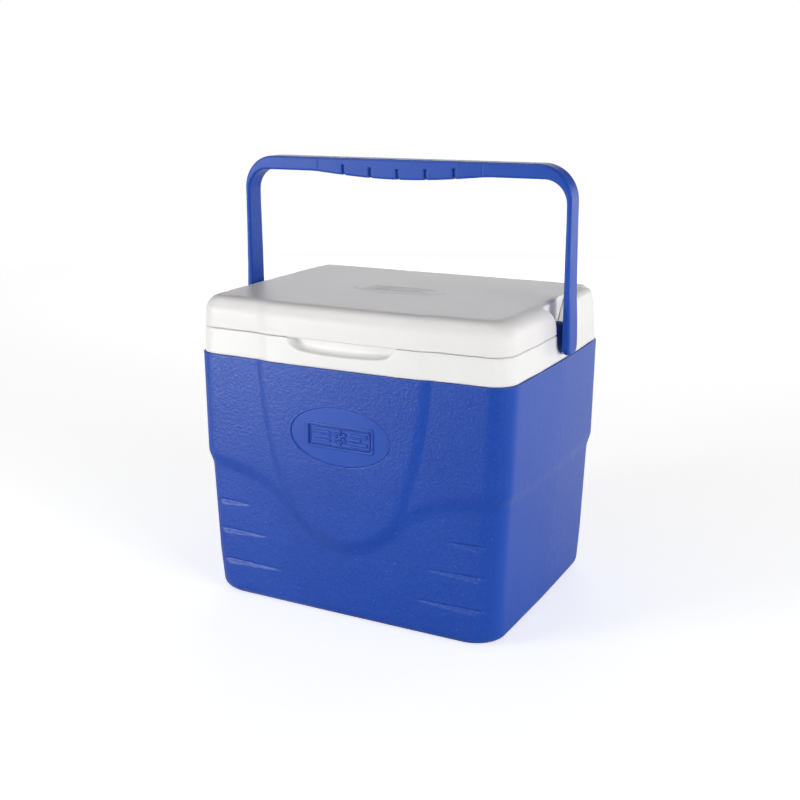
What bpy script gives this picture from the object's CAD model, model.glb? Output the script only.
"""A hard cooler: blue shell, white liner and hinged lid, blue bail handle.

It stands on z = 0 and is centred on x = 0. The front faces -y and +x is on the
right seen from the front. Shapes are written in millimetres; meshes, materials
and the studio are in metres.
"""
import math
from functools import reduce
from itertools import product

import bmesh
import bpy
import numpy as np
from mathutils import Matrix, Vector


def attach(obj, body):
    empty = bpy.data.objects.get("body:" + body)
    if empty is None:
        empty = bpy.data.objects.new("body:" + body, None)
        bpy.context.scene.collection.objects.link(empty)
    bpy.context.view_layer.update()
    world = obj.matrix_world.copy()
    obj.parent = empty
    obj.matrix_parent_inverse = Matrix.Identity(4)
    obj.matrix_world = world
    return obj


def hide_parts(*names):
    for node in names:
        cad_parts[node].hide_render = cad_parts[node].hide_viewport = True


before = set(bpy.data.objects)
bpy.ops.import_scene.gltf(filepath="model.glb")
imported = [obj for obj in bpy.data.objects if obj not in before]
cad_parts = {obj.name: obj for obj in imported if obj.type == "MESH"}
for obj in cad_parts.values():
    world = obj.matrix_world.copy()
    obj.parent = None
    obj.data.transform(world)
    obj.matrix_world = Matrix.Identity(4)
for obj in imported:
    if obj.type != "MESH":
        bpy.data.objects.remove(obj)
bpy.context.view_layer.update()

MM = 0.001

# ---------------------------------------------------------------- dimensions
BASE_ROUND = 9.0                                   # height of the rounded base edge
SHELL_TOP_Z = 224.4
LEDGE_LO_Z, LEDGE_HI_Z, LEDGE_STEP = 122.2, 132.9, 2.8
BIB_PROUD = 2.5                                    # how far the front panel stands out
COLLAR_LO_Z, RIM_Z = 224.7, 247.5
EAR_TOP_Z, EAR_IN_X, EAR_FRONT_Y = 274.2, 137.8, 24.0
POCKET_X = 141.0                                   # inner end of the pockets at the handle
LID_POCKET_X = POCKET_X - 0.3
CAVITY_Z, LINER_WALL = 26.8, 2.2
LID_LO_Z, LID_TOP_Z, LID_WALL = 248.1, 275.0, 2.5
HINGE_Y, HINGE_Z, HINGE_R, HINGE_BORE_R = 91.3, 261.7, 3.6, 3.95
LID_REAR_R = 13.3
PIVOT_Y, PIVOT_Z, STUD_R, STUD_BORE_R = 8.0, 243.4, 2.8, 3.1
ARM_Y, BOSS_R = -1.5, 13.3
BAR_TOP_Z, BAR_LO_Z, GRIP_DROP = 389.0, 376.7, 5.1
GRIP_HALF = 86.0
NOTCH_X = (-54.0, -27.0, 0.0, 27.0, 54.0)
BADGE_Z, BADGE_HALF_X, BADGE_HALF_Z = 167.3, 48.0, 25.0
EMBLEM_Y = -6.0
PLUG_Y = 62
OUTER_CORNER, COLLAR_BOW, COLLAR_SIDE_BOW = 20.0, 2.7, 1.6


# ---------------------------------------------------------------- field maths
# A field is below 0 inside its shape and close to the distance near its surface.
def clamp(value):
    return np.clip(value, 0.0, 1.0)


def smooth(value):
    part = clamp(value)
    return part * part * (3 - 2 * part)


def soft_ramp(value, softness=0.02):
    """0 below 0, 1 above 1, with rounded corners."""
    return 0.5 + 0.5 * (np.sqrt(value * value + softness)
                        - np.sqrt((value - 1) ** 2 + softness))


def overlap(*fields):
    """Sharp intersection."""
    return reduce(np.maximum, fields)


def meet(one, two, radius):
    """Intersection whose convex edge is rounded."""
    return (np.minimum(-radius, np.maximum(one, two))
            + np.hypot(np.maximum(one + radius, 0), np.maximum(two + radius, 0)))


def cut(solid, tool, radius):
    """Solid without the tool, the edge rounded."""
    return meet(solid, -tool, radius)


def join(one, two, radius):
    """Union with a fillet."""
    return (np.maximum(radius, np.minimum(one, two))
            - np.hypot(np.maximum(radius - one, 0), np.maximum(radius - two, 0)))


def lerp(z, z_lo, at_lo, z_hi, at_hi):
    return at_lo + (at_hi - at_lo) * (z - z_lo) / (z_hi - z_lo)


def polygon(across, along, points):
    """Signed distance to a closed polygon. The two coordinates broadcast."""
    nearest, sign = None, 1.0
    for i in range(len(points)):
        ax, ay = points[i]
        bx, by = points[i - 1]
        edge_x, edge_y = bx - ax, by - ay
        from_x, from_y = across - ax, along - ay
        part = clamp((from_x * edge_x + from_y * edge_y) / (edge_x * edge_x + edge_y * edge_y))
        square = (from_x - edge_x * part) ** 2 + (from_y - edge_y * part) ** 2
        nearest = square if nearest is None else np.minimum(nearest, square)
        above, below, left = along >= ay, along < by, edge_x * from_y > edge_y * from_x
        flip = (above & below & left) | (~above & ~below & ~left)
        sign = np.where(flip, -sign, sign)
    return sign * np.sqrt(nearest)


def curve_through(points, steps=6):
    """Catmull-Rom curve through points."""
    knots = [np.array(point, float) for point in points]
    knots = [2 * knots[0] - knots[1]] + knots + [2 * knots[-1] - knots[-2]]
    curve = []
    for i in range(len(points) - 1):
        before, start, end, after = knots[i:i + 4]
        for k in range(steps):
            t = k / steps
            curve.append(tuple(0.5 * (
                2 * start + (end - before) * t
                + (2 * before - 5 * start + 4 * end - after) * t * t
                + (3 * start - before - 3 * end + after) * t ** 3)))
    curve.append(tuple(knots[-2]))
    return curve


def arc(centre, radius, steps, sweep=math.pi / 2, start=0.0):
    angles = [start + i / steps * sweep for i in range(steps + 1)]
    return [(centre[0] + radius * math.cos(a), centre[1] + radius * math.sin(a)) for a in angles]


def both_sides(half):
    """Points that start at x = 0, with their mirror image put before them."""
    return [(-x, z) for x, z in half[:0:-1]] + half


def softened(heights, values, blur):
    """Function of z through (height, value) stations, its corners blurred."""
    step = 0.1
    z = np.arange(-40.0, 320.0, step)
    heights, values = np.array(heights, float), np.array(values, float)
    line = np.interp(z, heights, values)
    slope_lo = (values[1] - values[0]) / (heights[1] - heights[0])
    slope_hi = (values[-1] - values[-2]) / (heights[-1] - heights[-2])
    line = np.where(z < heights[0], values[0] + slope_lo * (z - heights[0]), line)
    line = np.where(z > heights[-1], values[-1] + slope_hi * (z - heights[-1]), line)
    pad = int(4 * blur / step)
    weights = np.exp(-0.5 * (np.arange(-pad, pad + 1) * step / blur) ** 2)
    weights /= weights.sum()
    line = np.concatenate([
        line[0] + (line[1] - line[0]) * np.arange(-pad, 0), line,
        line[-1] + (line[-1] - line[-2]) * np.arange(1, pad + 1)])
    line = np.convolve(line, weights, "valid")
    return lambda at: np.interp(at, z, line)


def bow(part):
    """1 - part^2 that eases to nothing past 1."""
    rise = 1 - part * part
    return 0.5 * (rise + np.sqrt(rise * rise + 0.004)) - 0.001


def side_bow(y, end_y):
    """Bow of the side walls: two nearly flat halves that meet in a faint crease."""
    crease_y = 5.0
    part = (y - crease_y) / (end_y + crease_y)
    return (0.35 * bow(part) + 0.65 * (1 - np.sqrt(part * part + 0.00004))
            - 0.07 * np.exp(-((y - crease_y) / 0.8) ** 2))


def corner_box(from_x, from_y, radius):
    """Rounded rectangle, from distances past the centres of its corner arcs."""
    return (np.hypot(np.maximum(from_x, 0), np.maximum(from_y, 0))
            + np.minimum(np.maximum(from_x, from_y), 0) - radius)


def plan(x, y, half_x, half_y, corner, bow_y=0.0, bow_x=0.0, relief=0.0):
    """Rounded rectangle in plan with bowed sides; relief is added to the front."""
    end_x, end_y = half_x - corner, half_y - corner
    wall_y = half_y + bow_y * bow(x / end_x) + np.where(y < 0, relief, 0.0)
    wall_x = half_x + bow_x * bow(y / end_y)
    return corner_box(np.abs(x) - (wall_x - corner), np.abs(y) - (wall_y - corner), corner)


def ellipse(across, along, half_a, half_b):
    """Approximate distance to an ellipse."""
    ratio = np.sqrt((across / half_a) ** 2 + (along / half_b) ** 2)
    slope = np.sqrt((across / half_a ** 2) ** 2 + (along / half_b ** 2) ** 2)
    return (ratio - 1) * ratio / np.maximum(slope, 1e-6)


# ---------------------------------------------------------------- meshes
def make_object(name, points, faces, material):
    mesh = bpy.data.meshes.new(name)
    mesh.from_pydata((points * MM).tolist(), [], faces)
    mesh.validate()
    mesh.polygons.foreach_set("use_smooth", [True] * len(mesh.polygons))
    mesh.materials.append(material)
    mesh.update()
    obj = bpy.data.objects.new(name, mesh)
    bpy.context.scene.collection.objects.link(obj)
    return obj


def grid(*spans):
    """Grid lines from (start, end, spacing) spans that follow each other."""
    places = []
    for start, end, spacing in spans:
        count = max(1, int(round((end - start) / spacing)))
        places.extend(start + (end - start) * i / count for i in range(count))
    places.append(spans[-1][1])
    return np.array(places)


def mirror_lines(half):
    return np.concatenate([-half[:0:-1], half])


def mirror_grid(*spans):
    """Grid lines over -x..x from spans for x >= 0."""
    return mirror_lines(grid(*spans))


def sample(field, xs, ys, zs, slab=24):
    """Field values on the grid, worked out in slabs to save memory."""
    values = np.empty((len(xs), len(ys), len(zs)), np.float64)
    for i in range(0, len(xs), slab):
        values[i:i + slab] = field(xs[i:i + slab, None, None], ys[None, :, None],
                                   zs[None, None, :])
    values[values == 0] = 1e-9
    return values


def project(field, points, limit):
    """Move points onto the surface, none further than the limit."""
    gap = 0.05
    x, y, z = points.T
    value = field(x, y, z)
    slope = np.stack([field(x + gap, y, z) - field(x - gap, y, z),
                      field(x, y + gap, z) - field(x, y - gap, z),
                      field(x, y, z + gap) - field(x, y, z - gap)], 1) / (2 * gap)
    step = -(value / np.maximum((slope * slope).sum(1), 0.05))[:, None] * slope
    length = np.linalg.norm(step, axis=1)
    return points + step * np.minimum(1, limit / np.maximum(length, 1e-9))[:, None]


def surface(field, xs, ys, zs, relax=2):
    """Closed quad mesh of field < 0: surface nets, evened out and projected."""
    values = sample(field, xs, ys, zs)
    inside = values < 0
    shape = np.array(values.shape) - 1
    corners = list(product((0, 1), repeat=3))
    count = np.zeros(shape, np.int8)
    for corner in corners:
        count += inside[tuple(slice(c, size + c) for c, size in zip(corner, shape))]
    mixed = (count > 0) & (count < 8)
    cells = np.argwhere(mixed)
    vertex = np.full(mixed.shape, -1, np.int64)
    vertex[mixed] = np.arange(len(cells))

    # each cell's vertex is the mean of the crossings on its edges
    total, hits = np.zeros((len(cells), 3)), np.zeros(len(cells))
    for corner, axis in product(corners, range(3)):
        if corner[axis]:
            continue
        near = (cells + corner).T
        far = near.copy()
        far[axis] += 1
        at_near, at_far = values[tuple(near)], values[tuple(far)]
        crossed = (at_near < 0) != (at_far < 0)
        part = np.where(crossed, at_near / np.where(crossed, at_near - at_far, 1.0), 0.0)
        start, end = (np.stack([xs[i], ys[j], zs[k]], 1) for i, j, k in (near, far))
        total += np.where(crossed[:, None], start + (end - start) * part[:, None], 0)
        hits += crossed
    points = total / hits[:, None]

    # one quad round every grid edge that crosses the surface
    quads = []
    for axis in range(3):
        here = [slice(1, -1)] * 3
        ahead = list(here)
        here[axis], ahead[axis] = slice(None, -1), slice(1, None)
        cell = np.array(np.nonzero(inside[tuple(here)] != inside[tuple(ahead)]))
        step_a, step_b = np.zeros((2, 3, 1), int)
        step_a[(axis + 1) % 3] = 1
        step_b[(axis + 2) % 3] = 1
        cell += step_a + step_b
        ring = (cell - step_a - step_b, cell - step_b, cell, cell - step_a)
        quad = np.stack([vertex[tuple(place)] for place in ring], 1)
        quads.append(np.where(inside[tuple(cell)][:, None], quad, quad[:, ::-1]))
    quads = np.concatenate(quads)

    points = project(field, points, 1.5)
    starts, ends = quads.T.ravel(), np.roll(quads, -1, axis=1).T.ravel()
    size = len(points)
    degree = np.bincount(starts, minlength=size) + np.bincount(ends, minlength=size)
    for _ in range(relax):
        around = np.stack([np.bincount(starts, points[ends, c], size)
                           + np.bincount(ends, points[starts, c], size) for c in range(3)], 1)
        points = points + 0.5 * (around / np.maximum(degree, 1)[:, None] - points)
        points = project(field, points, 0.6)
    return points, quads.tolist()


# ---------------------------------------------------------------- shell shape
BODY_Z = (BASE_ROUND, LEDGE_LO_Z, LEDGE_HI_Z, SHELL_TOP_Z)
body_half_x = softened(BODY_Z, (140.2, 145.0, 145.0, 147.2), blur=5)
body_half_y = softened(BODY_Z, (111.0, 110.8, 110.8, 108.5), blur=5)
front_bow = softened(BODY_Z, (0.2, 2.0, 2.0, 2.7), blur=8)
wall_bow = softened(BODY_Z, (1.1, 2.0, 2.0, 2.0), blur=8)
body_corner = softened((-10, 0, 9, 40, 230, 240), (26, 26, 23.5, 20, 20, 20), blur=3)

# (x, z) on the right half: the outer and inner lines of the front panel's sloped border
BIB_OUTER = [
    (0, 61.5), (6, 62.6), (12, 64.2), (25, 69.8), (38.6, 78), (45.6, 84.6), (53.6, 97.4),
    (60.4, 112.4), (69, 139.6), (75, 165), (79, 187), (81.3, 208), (82.5, 224), (83.2, 245)]
BIB_INNER = [
    (0, 76), (8, 76.9), (16, 79), (31.6, 87.4), (37.6, 92.4), (44.8, 103.6), (51.6, 119.4),
    (60, 146.6), (65.2, 170), (69, 191), (71, 208), (72, 224), (72.6, 245)]
# (x, z) on the right half: where the front wall takes its step outwards
SHOULDER = [
    (0, 66), (20, 70), (36, 80), (52, 94), (67, 108), (84, 117.5), (100, 122.7),
    (115, 125.3), (130, 127.2), (150, 127.55), (170, 127.55)]
# (z, inner |x|, outer |x|) of the grooves across each side of the front
GROOVES = [(88.8, 97, 129), (61.5, 79, 128), (32.3, 64, 127)]

bib_outer = both_sides(curve_through(BIB_OUTER, 5))
bib_inner = both_sides(curve_through(BIB_INNER, 5))
shoulder_x, shoulder_z = np.array(curve_through(SHOULDER)).T


def ledge(z):
    return soft_ramp((z - LEDGE_LO_Z) / (LEDGE_HI_Z - LEDGE_LO_Z), 0.03)


def bib(x, z):
    """0 off the front panel, 1 on it; the slope between is sharper higher up."""
    in_outer = -polygon(x, z, bib_outer)
    to_inner = np.maximum(polygon(x, z, bib_inner), 0)
    depth = np.maximum(in_outer, 0)
    part = np.where(in_outer <= 0, 0, depth / np.maximum(depth + to_inner, 1e-6))
    steep = smooth((z - 86.0 + 26.0 * np.clip(x / 50.0, -1, 1)) / 40.0)
    return (steep * (1 - (1 - part) ** 2.3)
            + (1 - steep) * (0.12 * (1 - (1 - part) ** 2.0) + 0.88 * smooth(part)))


def upper(x, z):
    """0 below the shoulder line, 1 above it."""
    half_band = 5.4
    line = np.interp(np.abs(x), shoulder_x, shoulder_z)
    return soft_ramp((z - (line - half_band)) / (2 * half_band), 0.03)


def groove(x, z):
    """Depth of the grooves, which widen and deepen outwards."""
    side = np.abs(x)
    depth = np.zeros(np.broadcast(x, z).shape)
    for middle, inner, outer in GROOVES:
        part = clamp((side - inner) / (outer - inner))
        end = smooth((outer + 5 - side) / 10)
        reach_up, reach_down = 0.9 + 1.4 * part, 1.8 + 3.0 * part
        rise = z - (middle + 1.1)
        vee = clamp(1 - np.where(rise > 0, rise / reach_up, -rise / reach_down))
        depth = np.maximum(depth, 2.5 * part ** 0.7 * end * (0.3 * vee + 0.7 * smooth(vee)))
    return depth


def shell_relief(x, z):
    panel = bib(x, z)
    step = np.maximum(upper(x, z), panel)
    return BIB_PROUD * panel + LEDGE_STEP * (step - ledge(z)) - groove(x, z)


def front_y(x, z):
    """Y of the shell's front face, without the badge recess."""
    step = LEDGE_STEP * ledge(z)
    end_x = body_half_x(z) + step - body_corner(z)
    return -(body_half_y(z) + step + front_bow(z) * bow(x / end_x)) - shell_relief(x, z)


def badge_recess(x, z):
    gap = ellipse(x, z - BADGE_Z, BADGE_HALF_X, BADGE_HALF_Z)
    return 1.7 * smooth((0.45 - gap) / 0.9)


# ---------------------------------------------------------------- shell mesh
# Inside the badge zone, square grid lines bend into ellipses round the badge.
ZONE_HALF_X, ZONE_HALF_Z = 60, 31.25
RIM_SHARE = 0.8                          # share of the zone at which the badge's edge lies
FRONT_HALF = 131.0                       # nominal half width of the flat front
# lines close to the badge's edge, as offsets over a 45 mm half width
RIM_OFFSETS = (-1.6, -1.0, -0.62, -0.32, -0.05, 0.22, 0.5, 0.85, 1.3, 2.0)
CORNER_STEPS, BACK_COLUMNS = 11, 44
# (z, inset) of the rings of the foot, outwards from the recessed underside
FOOT = [(1.7, 28), (1.6, 26.2), (1.25, 25), (0.85, 24.2), (0.35, 23.4), (0.06, 22.2),
        (0.0, 21), (0.0, 15), (0.0, 9.6)]
# (z, inset) of the rings of the inside wall, downwards
INSIDE = [(SHELL_TOP_Z, 3.2), (SHELL_TOP_Z - 0.6, 4.2), (200, 5.4), (150, 5.4), (134, 5.4),
          (116, 4.2), (60, 4.2), (12, 4.2)]
UNDERSIDE_Z, INNER_FLOOR_Z = 1.7, 4.0


def zone_lines():
    """Lines of the badge zone from -1 to 1, crowded at the badge's edge."""
    even = np.round(np.linspace(0, 1, 27), 4)
    even = even[np.abs(even - RIM_SHARE - 0.01) > 0.045]
    rim = [RIM_SHARE + offset / 45.0 for offset in RIM_OFFSETS]
    return mirror_lines(np.sort(np.concatenate([even, rim])))


ZONE_LINES = zone_lines()
OUTER_SHARES = ((grid((ZONE_HALF_X, FRONT_HALF, 1.85))[1:] - ZONE_HALF_X)
                / (FRONT_HALF - ZONE_HALF_X))


def zone_row(index):
    """x and z of one row of the badge zone."""
    line = ZONE_LINES[index]
    reach = np.maximum(np.maximum(np.abs(ZONE_LINES), abs(line)), 1e-9)
    across, along = ZONE_LINES / reach, line / reach
    round_x = across * np.sqrt(1 - along * along / 2)
    round_z = along * np.sqrt(1 - across * across / 2)
    square = clamp((reach - RIM_SHARE) / (1 - RIM_SHARE))
    scale = np.minimum(reach / RIM_SHARE, 1.0)
    x = (1 - square) * BADGE_HALF_X * round_x * scale + square * ZONE_HALF_X * across
    z = (1 - square) * BADGE_HALF_Z * round_z * scale + square * ZONE_HALF_Z * along
    return x, BADGE_Z + z


def shell_ring(z, inset, zone=None, plain=False):
    """One ring round the plan from the front left corner; plain has no relief."""
    level = max(z, BASE_ROUND)
    step = LEDGE_STEP * ledge(level)
    half_x, half_y = body_half_x(level) + step - inset, body_half_y(level) + step - inset
    radius = max(body_corner(z) - max(inset - 9, 0), 9.0)
    bow_y = front_bow(level)
    end_x, end_y = half_x - radius, half_y - radius
    fade = clamp(1 - (inset - 1) / 6)

    outer = ZONE_HALF_X + (end_x - ZONE_HALF_X) * OUTER_SHARES
    front_x = np.concatenate([-outer[::-1], ZONE_LINES * ZONE_HALF_X, outer])
    front_z = np.full(len(front_x), z)
    if zone is not None:
        middle = slice(len(outer), len(outer) + len(ZONE_LINES))
        front_x[middle], front_z[middle] = zone_row(zone)
    if plain:
        wall_y = -(half_y + bow_y * bow(front_x / end_x))
    else:
        levels = np.maximum(front_z, BASE_ROUND)
        shift = LEDGE_STEP * ledge(levels) - inset
        ends = body_half_x(levels) + shift - radius
        wall_y = -(body_half_y(levels) + shift + front_bow(levels) * bow(front_x / ends))
        wall_y = wall_y - shell_relief(front_x, front_z) * fade
        wall_y = wall_y + badge_recess(front_x, front_z)

    def level_points(x, y):
        return np.stack([x, y, np.full_like(x, z)], 1)

    def corner(side_x, side_y, start):
        turn = start + np.arange(1, CORNER_STEPS) / CORNER_STEPS * math.pi / 2
        x = side_x * end_x + radius * np.cos(turn)
        y = side_y * end_y + radius * np.sin(turn)
        if not plain:                    # the front's relief dies out round the corner
            y = y - shell_relief(x, np.full_like(x, z)) * clamp((-y - end_y) / radius) * fade
        return level_points(x, y)

    # side walls: the bow is measured from its chord, so it is nothing at the corner arcs
    side_y = np.concatenate([np.linspace(-end_y, 2.6, 18), [3.6, 4.3, 5.0, 5.7, 6.4],
                             np.linspace(7.4, end_y, 17)])
    first, last = side_bow(np.array([-end_y, end_y]), end_y)
    bulge = side_bow(side_y, end_y) - first - (last - first) * (side_y + end_y) / (2 * end_y)
    side_x = half_x + wall_bow(level) * bulge
    back_x = np.linspace(end_x, -end_x, BACK_COLUMNS)
    return np.concatenate([
        np.stack([front_x, wall_y, front_z], 1),
        corner(1, -1, -math.pi / 2),
        level_points(side_x, side_y),
        corner(1, 1, 0),
        level_points(back_x, half_y + bow_y * bow(back_x / end_x) - bow_y * bow(1.0)),
        corner(-1, 1, math.pi / 2),
        level_points(-side_x[::-1], side_y[::-1]),
        corner(-1, -1, math.pi)])


def shell_rows():
    """(z, inset, badge zone row) of the outside rings, upwards."""
    rows = []
    for i in range(9):
        turn = (1 - i / 9) * math.pi / 2
        rows.append((BASE_ROUND * (1 - math.sin(turn)), BASE_ROUND * (1 - math.cos(turn)), None))
    zone_z = [BADGE_Z + ZONE_HALF_Z * line for line in ZONE_LINES]
    z = BASE_ROUND
    while z < SHELL_TOP_Z - 0.9:
        if zone_z[0] - 1.0 <= z < zone_z[-1]:
            rows += [(height, 0.0, k) for k, height in enumerate(zone_z)]
            z = zone_z[-1] + 1.6
            continue
        rows.append((z, 0.0, None))
        to_groove = min(abs(z - entry[0]) for entry in GROOVES)
        z += 0.62 if to_groove < 4.6 else (1.0 if 117 < z < 138 else 1.7)
    lip = ((0.9, 0.0), (0.4, 0.0), (0.15, 0.08), (0.0, 0.35))        # (drop, inset)
    return rows + [(SHELL_TOP_Z - drop, inset, None) for drop, inset in lip]


def shell_mesh():
    rings = []

    def flat_ring(z, inset, scale=1.0):
        ring = shell_ring(0.0, inset, plain=True) * [scale, scale, 1.0]
        ring[:, 2] = z
        rings.append(ring)

    for scale in (0.12, 0.4, 0.7, 0.9):
        flat_ring(UNDERSIDE_Z, 28, scale)
    for z, inset in FOOT:
        flat_ring(z, inset)
    rings += [shell_ring(*row) for row in shell_rows()]
    rings += [shell_ring(z, inset, plain=True) for z, inset in INSIDE]
    flat_ring(4.6, 11.5)
    for scale in (1.0, 0.9, 0.5, 0.12):
        flat_ring(INNER_FLOOR_Z, 17, scale)

    size = len(rings[0])
    here = np.arange(size)
    after = (here + 1) % size
    faces = []
    for k in range(len(rings) - 1):
        low, high = k * size, (k + 1) * size
        quads = np.stack([low + here, low + after, high + after, high + here], 1)
        faces += quads.tolist()
    last = (len(rings) - 1) * size
    under, floor_centre = last + size, last + size + 1
    faces += [(under, int(b), int(a)) for a, b in zip(here, after)]
    faces += [(floor_centre, last + int(a), last + int(b)) for a, b in zip(here, after)]
    centres = np.array([[0, 0, UNDERSIDE_Z], [0, 0, INNER_FLOOR_Z]])
    return np.concatenate(rings + [centres]), faces


# ---------------------------------------------------------------- badge and emblem
def glyph_strokes():
    """Strokes (x0, y0, x1, y1, radius): a snowflake between two stacks of bars."""
    strokes = []
    for k in range(6):
        arm = math.pi / 2 + k * math.pi / 3
        cos, sin = math.cos(arm), math.sin(arm)
        strokes.append((0, 0, 6.1 * cos, 6.1 * sin, 0.75))
        for share, length in ((0.46, 2.0), (0.76, 1.5)):
            root_x, root_y = 6 * share * cos, 6 * share * sin
            for side in (-1, 1):
                twig = arm + side * math.radians(58)
                strokes.append((root_x, root_y, root_x + length * math.cos(twig),
                                root_y + length * math.sin(twig), 0.6))
    for side in (-1, 1):
        for height, end, radius in ((3.3, 25.0, 1.15), (-0.4, 19.5, 0.95), (-3.9, 25.0, 1.15)):
            strokes.append((side * 10.2, height, side * end, height, radius))
    return strokes


GLYPH = glyph_strokes()


def capsule(across, along, x0, y0, x1, y1, radius):
    run, rise = x1 - x0, y1 - y0
    part = clamp(((across - x0) * run + (along - y0) * rise) / (run * run + rise * rise))
    return np.hypot(across - x0 - run * part, along - y0 - rise * part) - radius


def badge_height(across, along, plate=1.3, rim=1.25):
    """Height of the relief: a framed plate with a thin inner line and the glyph."""
    def frame_box(half_x, half_y, corner):
        return corner_box(np.abs(across) - half_x + corner, np.abs(along) - half_y + corner,
                          corner)

    height = plate * smooth((0.35 - frame_box(32.0, 10.6, 2.0)) / 0.7)
    height = height - 1.3 * plate * smooth((0.3 - frame_box(30.2, 8.8, 1.2)) / 0.6)
    line = np.abs(frame_box(28.6, 7.4, 0.8)) - 0.3
    height = height + 0.5 * plate * smooth((0.25 - line) / 0.5)
    glyph = reduce(np.minimum, (capsule(across, along, *stroke) for stroke in GLYPH))
    return height + rim * smooth((0.35 - glyph) / 0.7)


def fit_front():
    """Coefficients of 1, x^2, h, h^2, x^4 for the front round the badge, h above its middle."""
    x, z = np.meshgrid(np.linspace(-56, 56, 57), np.linspace(BADGE_Z - 32, BADGE_Z + 32, 33),
                       indexing="ij")
    target = front_y(x, z).ravel()
    x, rise = x.ravel(), z.ravel() - BADGE_Z
    terms = np.stack([np.ones(x.size), x ** 2, rise, rise ** 2, x ** 4], 1)
    return np.linalg.lstsq(terms, target, rcond=None)[0]


FIT = fit_front()


def badge_field(x, y, z):
    rise = z - BADGE_Z
    front = FIT[0] + FIT[1] * x ** 2 + FIT[2] * rise + FIT[3] * rise ** 2 + FIT[4] * x ** 4
    face = front + 0.95
    disc = ellipse(x, rise, BADGE_HALF_X - 0.1, BADGE_HALF_Z - 0.1)
    ahead = (face - badge_height(x, rise)) - y
    return overlap(meet(disc, ahead, 0.12), y - (face + 1.1))


def emblem_field(x, y, z):
    along = y - EMBLEM_Y
    disc = ellipse(x, along, 46.0, 21.0)
    height = 0.28 * smooth((0.5 - disc) / 1.6) + badge_height(x, along, 0.3, 0.32) * 0.8
    return overlap(disc, z - (LID_TOP_Z + height), (LID_TOP_Z - 1.0) - z)


# ---------------------------------------------------------------- collar, liner, lid
# (y from the ears' front, z) of the rear edge of the handle pocket above the pivot
POCKET_REAR = [(-2, 246), (-1.6, 251), (2.4, 258.5), (7.8, 266), (13, 273), (24, 292)]
# (y, z) of its front edge, downwards
POCKET_FRONT = [(-44, 276.0), (-31, 274.9), (-21, 272), (-13, 265), (-7.6, 257), (-6, 249)]
# (y from the ears' front, z) of the ears' front edge, downwards
EAR_FRONT = [(19.5, 274.6), (14, 272), (8.4, 266), (2.4, 258.5), (-2.4, 251)]
EAR_ROUND = 24
# (x, z) on the right half of the scoop in the collar's front
SCOOP = [(0, 235.9), (20, 236.3), (32, 237.1), (38.5, 238.0), (43.2, 239.4), (46.8, 242),
         (49.6, 245.4), (50.8, 248.5), (51.2, 252)]
# (|x|, y) of the region where the lid is narrowed beside the ears
NARROW = [(LID_POCKET_X, -4), (139.4, 10), (137.3, 23), (137.1, 130), (200, 130), (200, -4)]
# half widths at COLLAR_LO_Z, RIM_Z and EAR_REF_Z
EAR_REF_Z = 262
COLLAR_HALF_X, COLLAR_HALF_Y = (148.7, 147.5, 146.0), (110.3, 110.0, 108.8)


def from_ear(table):
    return curve_through([(EAR_FRONT_Y + offset, z) for offset, z in table], 3)


pocket_outline = (arc((PIVOT_Y, PIVOT_Z), 14, 18, sweep=math.pi, start=math.pi)
                  + from_ear(POCKET_REAR) + [(-60, 292), (-60, 276.6)]
                  + curve_through(POCKET_FRONT, 4))
scoop_outline = curve_through(both_sides(SCOOP), 3)
ear_outline = ([(EAR_FRONT_Y - 2.6, 236), (112, 236), (109.5, 252)]
               + arc((107 - EAR_ROUND, 274.6 - EAR_ROUND), EAR_ROUND, 12)
               + from_ear(EAR_FRONT))


def collar_relief(x):
    """The front panel carried on up the collar and the lid."""
    return BIB_PROUD * smooth((85.0 - np.abs(x)) / 16)


def collar_half(z, halves):
    low, rim, top = halves
    return np.where(z > RIM_Z, lerp(z, RIM_Z, rim, EAR_REF_Z, top),
                    lerp(z, COLLAR_LO_Z, low, RIM_Z, rim))


def outer_plan(x, y, half_x, half_y):
    return plan(x, y, half_x, half_y, OUTER_CORNER, COLLAR_BOW, COLLAR_SIDE_BOW,
                collar_relief(x))


def cavity_plan(x, y, z, grow, corner):
    part = (z - CAVITY_Z) / (RIM_Z - CAVITY_Z)
    return plan(x, y, 115 + 6 * part + grow, 79 + 7 * part + grow, corner)


def pocket(x, y, z, inner_x):
    return meet(polygon(y, z, pocket_outline), inner_x - np.abs(x), 2.2)


def cross_rod(x, y, z, radius, x_in, x_out, centre_y, centre_z):
    """A pair of rods along x, one on each side."""
    side = np.abs(x)
    return overlap(np.hypot(y - centre_y, z - centre_z) - radius, x_in - side, side - x_out)


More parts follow.
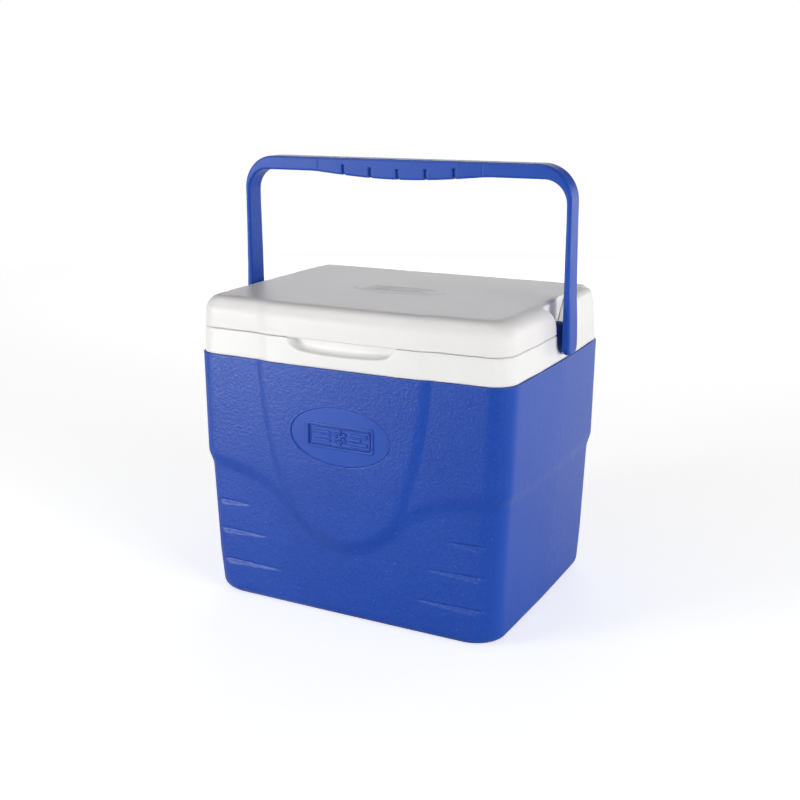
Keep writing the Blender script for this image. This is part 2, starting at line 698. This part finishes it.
def liner_field(x, y, z):
    side = np.abs(x)
    outside = outer_plan(x, y, collar_half(z, COLLAR_HALF_X), collar_half(z, COLLAR_HALF_Y))
    collar = meet(outside, z - RIM_Z, 1.0)
    collar = meet(collar, COLLAR_LO_Z - z, 0.3)
    ears = meet(outside, z - EAR_TOP_Z - 0.6, 9.0)
    ears = meet(ears, meet(polygon(y, z, ear_outline), EAR_IN_X - side, 1.2), 1.8)
    ears = overlap(ears, 240 - z)
    # the collar is hollow from below, but solid behind the pockets and the scoop
    hollow = overlap(plan(x, y, 144.2, 106.4, 15.0, COLLAR_BOW, 1.4), z - (RIM_Z - 3))
    hollow = overlap(hollow, -overlap(POCKET_X - 4.4 - side, -11 - y, y - 27))
    hollow = overlap(hollow, -overlap(side - 56, y + 99, 232 - z))
    collar = overlap(collar, -hollow)
    tub = meet(cavity_plan(x, y, z, grow=LINER_WALL, corner=15.5),      # thicker in the corners
               (CAVITY_Z - LINER_WALL) - z, 9.0)
    tub = overlap(tub, z - (RIM_Z - 0.4))
    solid = np.minimum(np.minimum(collar, tub), ears)
    cavity = meet(cavity_plan(x, y, z, grow=0.0, corner=18.0), CAVITY_Z - z, 9.0)
    solid = cut(solid, cavity, 1.9)
    solid = cut(solid, pocket(x, y, z, POCKET_X), 1.9)
    solid = cut(solid, meet(polygon(x, z, scoop_outline), y + 106.2, 5.0), 1.4)
    stud_bore = cross_rod(x, y, z, STUD_BORE_R, POCKET_X - 8, 150, PIVOT_Y, PIVOT_Z)
    hinge_bore = cross_rod(x, y, z, HINGE_BORE_R, EAR_IN_X - 1, EAR_IN_X + 4.4,
                           HINGE_Y, HINGE_Z)
    return overlap(solid, -stud_bore, -hinge_bore)


def rear_round(y, z, wall, otherwise):
    """The lid's rear, round about the hinge, drawn in by a wall."""
    return np.where(y > HINGE_Y, np.hypot(y - HINGE_Y, z - HINGE_Z) - LID_REAR_R + wall,
                    otherwise)


def within_lid(inner, x, y, z, wall):
    """Keep a shape one wall away from the lid's side cuts and rear."""
    narrow = polygon(np.abs(x), y, NARROW)
    return overlap(inner, wall - narrow, wall - pocket(x, y, z, LID_POCKET_X),
                   rear_round(y, z, wall, -50.0))


def lid_field(x, y, z):
    half_x = lerp(z, LID_LO_Z, 147.4, EAR_REF_Z, 146.9)
    half_y = lerp(z, LID_LO_Z, 110.05, EAR_REF_Z, 109.9)
    solid = meet(outer_plan(x, y, half_x, half_y), z - LID_TOP_Z, 14.5)
    solid = meet(solid, LID_LO_Z - z, 0.6)
    lip = np.interp(z, [250, 258, 267, 272], [2.4, 2.2, 1.3, 0.8])
    solid = cut(solid, pocket(x, y, z, LID_POCKET_X), lip)
    solid = cut(solid, polygon(np.abs(x), y, NARROW), 0.8)
    solid = overlap(solid, rear_round(y, z, 0.0, z - LID_TOP_Z))
    inner = meet(plan(x, y, 144.2, 107.0, 18.5, COLLAR_BOW, 1.0),
                 z - (LID_TOP_Z - LID_WALL - 0.3), 13.0)
    solid = cut(solid, within_lid(inner, x, y, z, LID_WALL), 0.5)
    pins = cross_rod(x, y, z, HINGE_R, 134.4, EAR_IN_X + 3.8, HINGE_Y, HINGE_Z)
    return np.minimum(solid, pins)


def pan_field(x, y, z):
    inner = plan(x, y, 144.1, 106.9, 15.7, COLLAR_BOW, 1.0)
    inner = within_lid(inner, x, y, z, LID_WALL + 0.3)
    plate = overlap(inner, z - 250.9, 248.7 - z)
    block = meet(plan(x, y, 117.0, 81.0, 16.0), 239.2 - z, 3.0)
    block = overlap(block, z - 249.7)
    dish = meet(plan(x, y, 96.0, 60.0, 12.0), z - 240.6, 0.9)       # in the underside
    solid = join(plate, cut(block, dish, 0.6), 1.2)
    hollow = meet(plan(x, y, 114.6, 78.6, 14.0), 242.6 - z, 2.0)
    return overlap(solid, -hollow)


# ---------------------------------------------------------------- handle
# (x, z) up the outer and inner faces of the right arm
ARM_OUTER = [(162.0, 200), (161.4, 231), (161.4, 242), (161.0, 258), (159.8, 285),
             (159.2, 320), (159.0, 346)]
ARM_INNER = [(154.9, 200), (154.9, 231), (154.9, 242), (154.8, 258), (154.8, 285),
             (154.8, 320), (154.9, 346)]
BEND_OUTER, BEND_INNER = 30, 20
BOSS_END_X = 157


def grip_bottom(x):
    part = np.minimum(np.abs(x) / GRIP_HALF, 1)
    return BAR_LO_Z - GRIP_DROP * (1 - part * part) ** 1.25


def handle_outline():
    outer = (curve_through(ARM_OUTER, 4)
             + arc((129, BAR_TOP_Z - BEND_OUTER), BEND_OUTER, 16) + [(100.0, BAR_TOP_Z)])
    inner = (curve_through(ARM_INNER, 3)
             + arc((134.7, BAR_LO_Z - BEND_INNER), BEND_INNER, 12)
             + [(110.0, BAR_LO_Z), (94.0, BAR_LO_Z)]
             + [(x, grip_bottom(x)) for x in np.linspace(88, 0, 17)])
    outer += [(-x, z) for x, z in outer[::-1]]
    inner += [(-x, z) for x, z in inner[-2::-1]]
    return outer + inner[::-1]


HANDLE_OUTLINE = handle_outline()


def handle_field(x, y, z):
    half_y = np.interp(z, [242, 300, 340, 389], [10.9, 10.7, 10.3, 10.0])
    band = meet(np.abs(y - ARM_Y) - half_y, 231.4 - z, 7.5)
    solid = meet(polygon(x, z, HANDLE_OUTLINE), band, 2.0)
    core = solid + 1.9
    for notch_x in NOTCH_X:
        notch = overlap(np.abs(x - notch_x) - 1.5, z - (grip_bottom(x) + 9.0), -core)
        solid = cut(solid, notch, 0.45)
    for line_x in (-80.0, 80.0):                     # fine lines at the ends of the grip
        solid = solid + 0.22 * np.exp(-((x - line_x) / 0.5) ** 2)
    side = np.abs(x)
    from_pivot = np.hypot(y - PIVOT_Y, z - PIVOT_Z)
    stud = overlap(meet(from_pivot - STUD_R, 136.8 - side, 1.3), side - BOSS_END_X)
    boss = meet(from_pivot - BOSS_R, POCKET_X + 0.6 - side, 0.8)
    cone = (from_pivot - BOSS_R + (side - 149.5) * 0.9) * 0.743
    boss = overlap(meet(boss, cone, 1.5), side - BOSS_END_X)
    return np.minimum(join(solid, boss, 1.2), stud)


def plug_field(x, y, z):
    radius = np.hypot(x, y - PLUG_Y)
    cap = meet(radius - 8.7, 0.4 - z, 0.6)
    cap = cut(cap, meet(radius - 5.6, z - 0.9, 0.4), 0.4)
    cap = overlap(cap, z - 2.2)
    return np.minimum(cap, overlap(radius - 6.0, 1.5 - z, z - 7.5))


# ---------------------------------------------------------------- materials
def srgb(*levels):
    """Linear colour from red, green and blue out of 255."""
    return tuple((c / 255) / 12.92 if c <= 10.3 else ((c / 255 + 0.055) / 1.055) ** 2.4
                 for c in levels) + (1.0,)


def grey(level):
    return (level, level, level, 1)


class Nodes:
    """A node tree; most methods add a node and return its output."""

    def __init__(self, owner):
        owner.use_nodes = True
        self.tree = owner.node_tree
        self.tree.nodes.clear()

    def node(self, kind, **props):
        node = self.tree.nodes.new(kind)
        for key, value in props.items():
            setattr(node, key, value)
        return node

    def feed(self, socket, value):
        """Set a socket to a plain value, or link an output to it."""
        if isinstance(value, (int, float, tuple)):
            socket.default_value = value
        else:
            self.tree.links.new(value, socket)

    def split(self, vector):
        node = self.node("ShaderNodeSeparateXYZ")
        self.feed(node.inputs[0], vector)
        return node.outputs

    def remap(self, value, span, to=(0.0, 1.0)):
        node = self.node("ShaderNodeMapRange", clamp=True)
        for i, limit in enumerate(span + to, 1):
            node.inputs[i].default_value = limit
        self.feed(node.inputs[0], value)
        return node.outputs[0]

    def math(self, operation, one, two):
        node = self.node("ShaderNodeMath", operation=operation)
        self.feed(node.inputs[0], one)
        self.feed(node.inputs[1], two)
        return node.outputs[0]

    def times(self, one, two):
        return self.math("MULTIPLY", one, two)

    def add(self, one, two):
        return self.math("ADD", one, two)

    def mix(self, share, one, two):
        node = self.node("ShaderNodeMix", data_type="RGBA")
        for i, value in ((0, share), (6, one), (7, two)):
            self.feed(node.inputs[i], value)
        return node.outputs[2]


class Surface(Nodes):
    """A material with one Principled shader, textured in object space."""

    def __init__(self, name):
        self.mat = bpy.data.materials.new(name)
        super().__init__(self.mat)
        output = self.node("ShaderNodeOutputMaterial")
        self.bsdf = self.node("ShaderNodeBsdfPrincipled")
        self.feed(output.inputs[0], self.bsdf.outputs[0])
        self.coords = self.node("ShaderNodeTexCoord").outputs["Object"]

    def noise(self, scale, detail=3.0, rough=0.55):
        node = self.node("ShaderNodeTexNoise")
        for key, value in (("Scale", scale), ("Detail", detail), ("Roughness", rough),
                           ("Vector", self.coords)):
            self.feed(node.inputs[key], value)
        return node.outputs["Fac"]

    def cells(self, scale):
        node = self.node("ShaderNodeTexVoronoi")
        self.feed(node.inputs["Scale"], scale)
        self.feed(node.inputs["Vector"], self.coords)
        return node.outputs["Distance"]

    def bump(self, height, strength, distance, normal=None):
        node = self.node("ShaderNodeBump")
        self.feed(node.inputs["Strength"], strength)
        self.feed(node.inputs["Distance"], distance)
        self.feed(node.inputs["Height"], height)
        if normal is not None:
            self.feed(node.inputs["Normal"], normal)
        return node.outputs[0]

    def pointiness(self, span, to=(0.0, 1.0)):
        """Remapped pointiness: above 0.5 on convex edges, below it in creases."""
        geometry = self.node("ShaderNodeNewGeometry")
        return self.remap(geometry.outputs["Pointiness"], span=span, to=to)

    def finish(self, **sockets):
        for key, value in sockets.items():
            self.feed(self.bsdf.inputs[key.replace("_", " ")], value)
        return self.mat


def blue_plastic(name, base, light, grain, pebble, depth, rough, spec, speckled=False,
                 crevice=0.0):
    """Blue plastic: pebble is the grain's scale, crevice darkens the creases."""
    worn, crease, mottle, fleck = (srgb(96, 122, 194), srgb(6, 30, 104), srgb(9, 54, 150),
                                   srgb(128, 152, 220))
    mat = Surface(name)
    cloud = mat.noise(scale=9.0)
    fine = mat.noise(scale=160.0, detail=4.0, rough=0.6)
    color = mat.mix(mat.remap(cloud, span=(0.35, 0.65)), base, light)
    color = mat.mix(mat.remap(fine, span=(0.3, 0.75), to=(0.0, 0.35)), color, light)
    edge = mat.pointiness(span=(0.515, 0.60))
    color = mat.mix(mat.times(edge, 0.34), color, worn)
    if crevice:
        deep = mat.pointiness(span=(0.40, 0.49), to=(1.0, 0.0))
        color = mat.mix(mat.times(deep, crevice), color, crease)
    cells = mat.cells(scale=pebble)
    pits = mat.noise(scale=pebble * 2.1, detail=2.0, rough=0.5)
    height = mat.add(mat.times(cells, 0.7), mat.times(pits, 0.8))
    # the side walls are smoother than the front and back
    facing = mat.split(mat.node("ShaderNodeNewGeometry").outputs["Normal"])
    broad = mat.remap(mat.math("ABSOLUTE", facing[1], 0.0), span=(0.3, 0.8), to=(0.06, 1.0))
    normal = mat.bump(mat.times(height, broad), strength=grain, distance=depth)
    waves = mat.noise(scale=30.0, detail=2.0, rough=0.5)
    normal = mat.bump(waves, strength=0.08, distance=0.0012, normal=normal)
    if speckled:
        patches = mat.remap(mat.noise(scale=470.0, detail=2.0, rough=0.6), span=(0.34, 0.66))
        color = mat.mix(mat.times(mat.times(patches, broad), 0.42), color, mottle)
    gloss = mat.remap(fine, span=(0.3, 0.7), to=(rough - 0.02, rough + 0.04))
    gloss = mat.add(gloss, mat.times(edge, 0.05))
    if speckled:
        dots = mat.remap(mat.cells(scale=250.0), span=(0.09, 0.17), to=(1.0, 0.0))
        pick = mat.remap(mat.noise(scale=120.0, detail=1.0), span=(0.57, 0.66))
        spots = mat.times(dots, pick)
        color = mat.mix(mat.times(mat.times(spots, broad), 0.42), color, fleck)
        gloss = mat.math("SUBTRACT", gloss, mat.times(spots, 0.12))
    return mat.finish(Base_Color=color, Roughness=gloss, Normal=normal,
                      Specular_IOR_Level=spec, IOR=1.5)


def white_plastic(name, base, shade, grain, rough, depth, scale):
    mat = Surface(name)
    cloud = mat.noise(scale=7.0)
    fine = mat.noise(scale=240.0, rough=0.6)
    color = mat.mix(mat.remap(cloud, span=(0.35, 0.7)), base, shade)
    color = mat.mix(mat.remap(fine, span=(0.45, 0.8), to=(0.0, 0.22)), color, shade)
    edge = mat.pointiness(span=(0.53, 0.62))
    color = mat.mix(mat.times(edge, 0.35), color, srgb(250, 250, 248))
    height = mat.add(mat.noise(scale=scale, rough=0.6),
                     mat.times(mat.cells(scale=scale * 0.55), 0.4))
    normal = mat.bump(height, strength=grain, distance=depth)
    waves = mat.noise(scale=24.0, detail=2.0, rough=0.5)
    normal = mat.bump(waves, strength=0.08, distance=0.0015, normal=normal)
    gloss = mat.remap(fine, span=(0.3, 0.7), to=(rough - 0.05, rough + 0.06))
    return mat.finish(Base_Color=color, Roughness=gloss, Normal=normal, IOR=1.49)


def foam_beads(name):
    mat = Surface(name)
    beads = mat.cells(scale=260.0)
    color = mat.mix(mat.remap(beads, span=(0.1, 0.7)), srgb(243, 235, 208), srgb(214, 200, 160))
    normal = mat.bump(beads, strength=0.5, distance=0.0006)
    gloss = mat.remap(mat.noise(scale=120.0), span=(0.3, 0.7), to=(0.82, 0.95))
    return mat.finish(Base_Color=color, Roughness=gloss, Normal=normal)


BLUE = blue_plastic(
    "blue_shell", base=srgb(18, 71, 172), light=srgb(28, 78, 179), grain=1.0, pebble=420.0,
    depth=0.00028, rough=0.40, spec=0.42, speckled=True)
BLUE_SMOOTH = blue_plastic(
    "blue_badge", base=srgb(20, 72, 174), light=srgb(29, 79, 180), grain=0.2, pebble=620.0,
    depth=0.00010, rough=0.38, spec=0.42, crevice=0.6)
BLUE_HANDLE = blue_plastic(
    "blue_handle", base=srgb(19, 69, 168), light=srgb(28, 76, 176), grain=0.2, pebble=600.0,
    depth=0.00010, rough=0.42, spec=0.24)
WHITE = white_plastic(
    "white_lid", base=srgb(241, 239, 238), shade=srgb(234, 232, 231), grain=0.10, rough=0.46,
    depth=0.0001, scale=620.0)
WHITE_LINER = white_plastic(
    "white_liner", base=srgb(242, 242, 240), shade=srgb(235, 235, 233), grain=0.08, rough=0.40,
    depth=0.00008, scale=420.0)
FOAM = foam_beads("foam")

# ---------------------------------------------------------------- pieces
# grids are finer where a piece has edges and small detail
body_shell = make_object("body_shell", *shell_mesh(), BLUE)
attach(body_shell, "chest")
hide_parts("outer_shell")

badge = make_object("badge_relief", *surface(
    badge_field,
    mirror_grid((0, 48.4, 0.42)),
    grid((-120.5, -114.0, 0.28)),
    grid((BADGE_Z - 25.4, BADGE_Z + 25.4, 0.42)), relax=1), BLUE_SMOOTH)
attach(badge, "chest")

liner = make_object("liner_tub", *surface(
    liner_field,
    mirror_grid((0, 40, 4), (40, 54, 1.1), (54, 96, 3), (96, 106, 2.0), (106, 124, 1.6),
                (124, 128, 2.0), (128, 152, 1.25)),
    grid((-118, -100, 1.15), (-100, -88, 2.0), (-88, -66, 1.6), (-66, -62, 2.0), (-62, -10, 3),
         (-10, 32, 1.4), (32, 60, 3.0), (60, 66, 2.0), (66, 88, 1.6), (88, 104, 1.8),
         (104, 116, 1.2)),
    grid((21, 38, 1.2), (38, 218, 5), (218, 224, 1.5), (224, 251, 1.12), (251, 278, 1.4)),
), WHITE_LINER)
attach(liner, "chest")
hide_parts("liner")

lid = make_object("lid_top", *surface(
    lid_field,
    mirror_grid((0, 66, 3.3), (66, 84, 2.0), (84, 126, 2.6), (126, 152, 1.0)),
    grid((-118, -92, 1.1), (-92, -50, 2.4), (-50, 30, 1.4), (30, 80, 2.4), (80, 109, 1.1)),
    grid((245, 277, 0.85))), WHITE)
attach(lid, "lid")
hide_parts("lid_cover")

emblem = make_object("lid_emblem", *surface(
    emblem_field,
    mirror_grid((0, 48, 0.42)),
    grid((EMBLEM_Y - 23, EMBLEM_Y + 23, 0.42)),
    grid((272.8, 277.0, 0.28)), relax=1), WHITE)
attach(emblem, "lid")

pan = make_object("lid_underside", *surface(
    pan_field,
    mirror_grid((0, 90, 3.2), (90, 120, 1.3), (120, 134, 2.0), (134, 148, 1.2)),
    grid((-113, -104, 1.2), (-104, -84, 2.2), (-84, -54, 1.2), (-54, 54, 3.0), (54, 84, 1.2),
         (84, 106, 1.6)),
    grid((237.5, 253, 0.75))), WHITE_LINER)
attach(pan, "lid")
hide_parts("lid_pan")

handle = make_object("bail_handle", *surface(
    handle_field,
    mirror_grid((0, 60, 0.85), (60, 78, 2.0), (78, 82, 0.7), (82, 120, 3.0), (120, 134, 1.4),
                (134, 164, 0.85)),
    grid((-14, 23.5, 0.85)),
    grid((228.5, 259, 0.9), (259, 350, 3.2), (350, 368, 1.3), (368, 391, 0.8))), BLUE_HANDLE)
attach(handle, "bail")
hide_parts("handle")

plug = make_object("fill_cap", *surface(
    plug_field,
    mirror_grid((0, 10, 0.5)),
    grid((PLUG_Y - 10, PLUG_Y + 10, 0.5)),
    grid((-0.4, 8.6, 0.35)), relax=1), BLUE_SMOOTH)
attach(plug, "chest")
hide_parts("fill_plug")

for name in ("body_foam", "lid_foam"):
    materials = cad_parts[name].data.materials
    materials.clear()
    materials.append(FOAM)

# ---------------------------------------------------------------- studio
scene = bpy.context.scene
scene.view_settings.view_transform = "Standard"
scene.view_settings.look = "None"


def floor_material():
    """Pale floor that glows to white far off, and glows as a sweep in reflections."""
    mat = Surface("pale_floor")
    rays = mat.node("ShaderNodeLightPath").outputs
    length = mat.node("ShaderNodeVectorMath", operation="LENGTH")
    mat.feed(length.inputs[0], mat.coords)
    far = mat.remap(length.outputs["Value"], span=(0.45, 2.2))
    seen = mat.mix(far, grey(0.80), grey(0.0))
    glow = mat.remap(far, span=(0.0, 1.0), to=(0.60, 1.0))
    place = mat.split(mat.coords)
    behind = mat.remap(place[1], span=(-0.15, 0.40), to=(0.05, 0.64))
    # a brighter wedge of floor 36 degrees to the left of straight ahead of the front
    turn = mat.math("ARCTAN2", place[0], mat.times(place[1], -1.0))
    off = mat.math("ABSOLUTE", mat.add(turn, math.radians(36)), 0.0)
    left = mat.remap(off, span=(math.radians(6), math.radians(30)), to=(0.30, 0.0))
    sweep = mat.add(behind, left)
    emission = mat.add(mat.times(rays["Is Camera Ray"], glow),
                       mat.times(rays["Is Glossy Ray"], sweep))
    color = mat.mix(rays["Is Camera Ray"], grey(0.70), seen)
    return mat.finish(Base_Color=color, Roughness=0.85, Emission_Color=(1, 1, 1, 1),
                      Emission_Strength=emission, Specular_IOR_Level=0.0)


def add_floor():
    mesh = bpy.data.meshes.new("floor")
    disc = bmesh.new()
    bmesh.ops.create_circle(disc, cap_ends=True, segments=96, radius=9.0)
    disc.to_mesh(mesh)
    disc.free()
    floor = bpy.data.objects.new("floor", mesh)
    floor.location.z = -0.0004
    scene.collection.objects.link(floor)
    mesh.materials.append(floor_material())


def add_world():
    """White to the camera; to the rest a grey that dims from the horizon upwards."""
    world = bpy.data.worlds.new("studio")
    scene.world = world
    sky = Nodes(world)
    output = sky.node("ShaderNodeOutputWorld")
    background = sky.node("ShaderNodeBackground")
    coords = sky.node("ShaderNodeTexCoord").outputs["Generated"]
    ramp = sky.remap(sky.split(coords)[2], span=(0.0, 0.9), to=(0.32, 0.125))
    rays = sky.node("ShaderNodeLightPath").outputs
    strength = sky.node("ShaderNodeMix", data_type="FLOAT")
    for i, value in ((0, rays["Is Camera Ray"]), (2, ramp), (3, 1.0)):
        sky.feed(strength.inputs[i], value)
    sky.feed(background.inputs["Strength"], strength.outputs[0])
    sky.feed(background.inputs["Color"], (1, 1, 1, 1))
    sky.feed(output.inputs[0], background.outputs[0])


def softbox(name, place, size, power, target=(0, 0, 0.16)):
    light = bpy.data.lights.new(name, "AREA")
    light.shape, light.energy = "RECTANGLE", power
    light.size, light.size_y = size
    obj = bpy.data.objects.new(name, light)
    obj.location = place
    obj.rotation_mode = "QUATERNION"
    obj.rotation_quaternion = (Vector(target) - Vector(place)).to_track_quat("-Z", "Y")
    obj.visible_camera = False
    scene.collection.objects.link(obj)
    return obj


def add_camera(azimuth, elevation, roll, target, distance, lens):
    """Camera round to the right and above; angles are in radians."""
    right = Vector((math.cos(azimuth), math.sin(azimuth), 0))
    back = Vector((math.sin(azimuth) * math.cos(elevation),
                   -math.cos(azimuth) * math.cos(elevation), math.sin(elevation)))
    up = back.cross(right)
    rolled_right = math.cos(roll) * right + math.sin(roll) * up
    rolled_up = -math.sin(roll) * right + math.cos(roll) * up
    data = bpy.data.cameras.new("camera")
    data.sensor_width, data.lens = 36.0, lens
    data.clip_start, data.clip_end = 0.05, 50
    camera = bpy.data.objects.new("camera", data)
    matrix = Matrix((rolled_right, rolled_up, back)).transposed().to_4x4()
    matrix.translation = target + back * distance
    camera.matrix_world = matrix
    scene.collection.objects.link(camera)
    scene.camera = camera


add_floor()
add_world()
softbox("left_box", place=(-0.98, -1.16, 0.37), size=(0.62, 0.62), power=14.0)
right_box = softbox("right_box", place=(1.68, -0.62, 0.42), size=(0.9, 0.8), power=20.5)
right_box.visible_glossy = False
sheen = softbox("sheen_panel", place=(-0.72, -0.39, 1.60), size=(1.0, 1.0), power=14.0)
sheen.visible_diffuse = False
softbox("rear_right_box", place=(1.05, 2.0, 0.38), size=(0.7, 0.7), power=5.0,
        target=(0.1, 0, 0.16))
softbox("back_box", place=(-0.8, 1.8, 0.5), size=(1.3, 0.9), power=11.0)
add_camera(azimuth=0.482, elevation=0.2675, roll=-0.00396,
           target=Vector((-3.115, -1.630, 171.51)) * MM, distance=1.08113, lens=52.98)
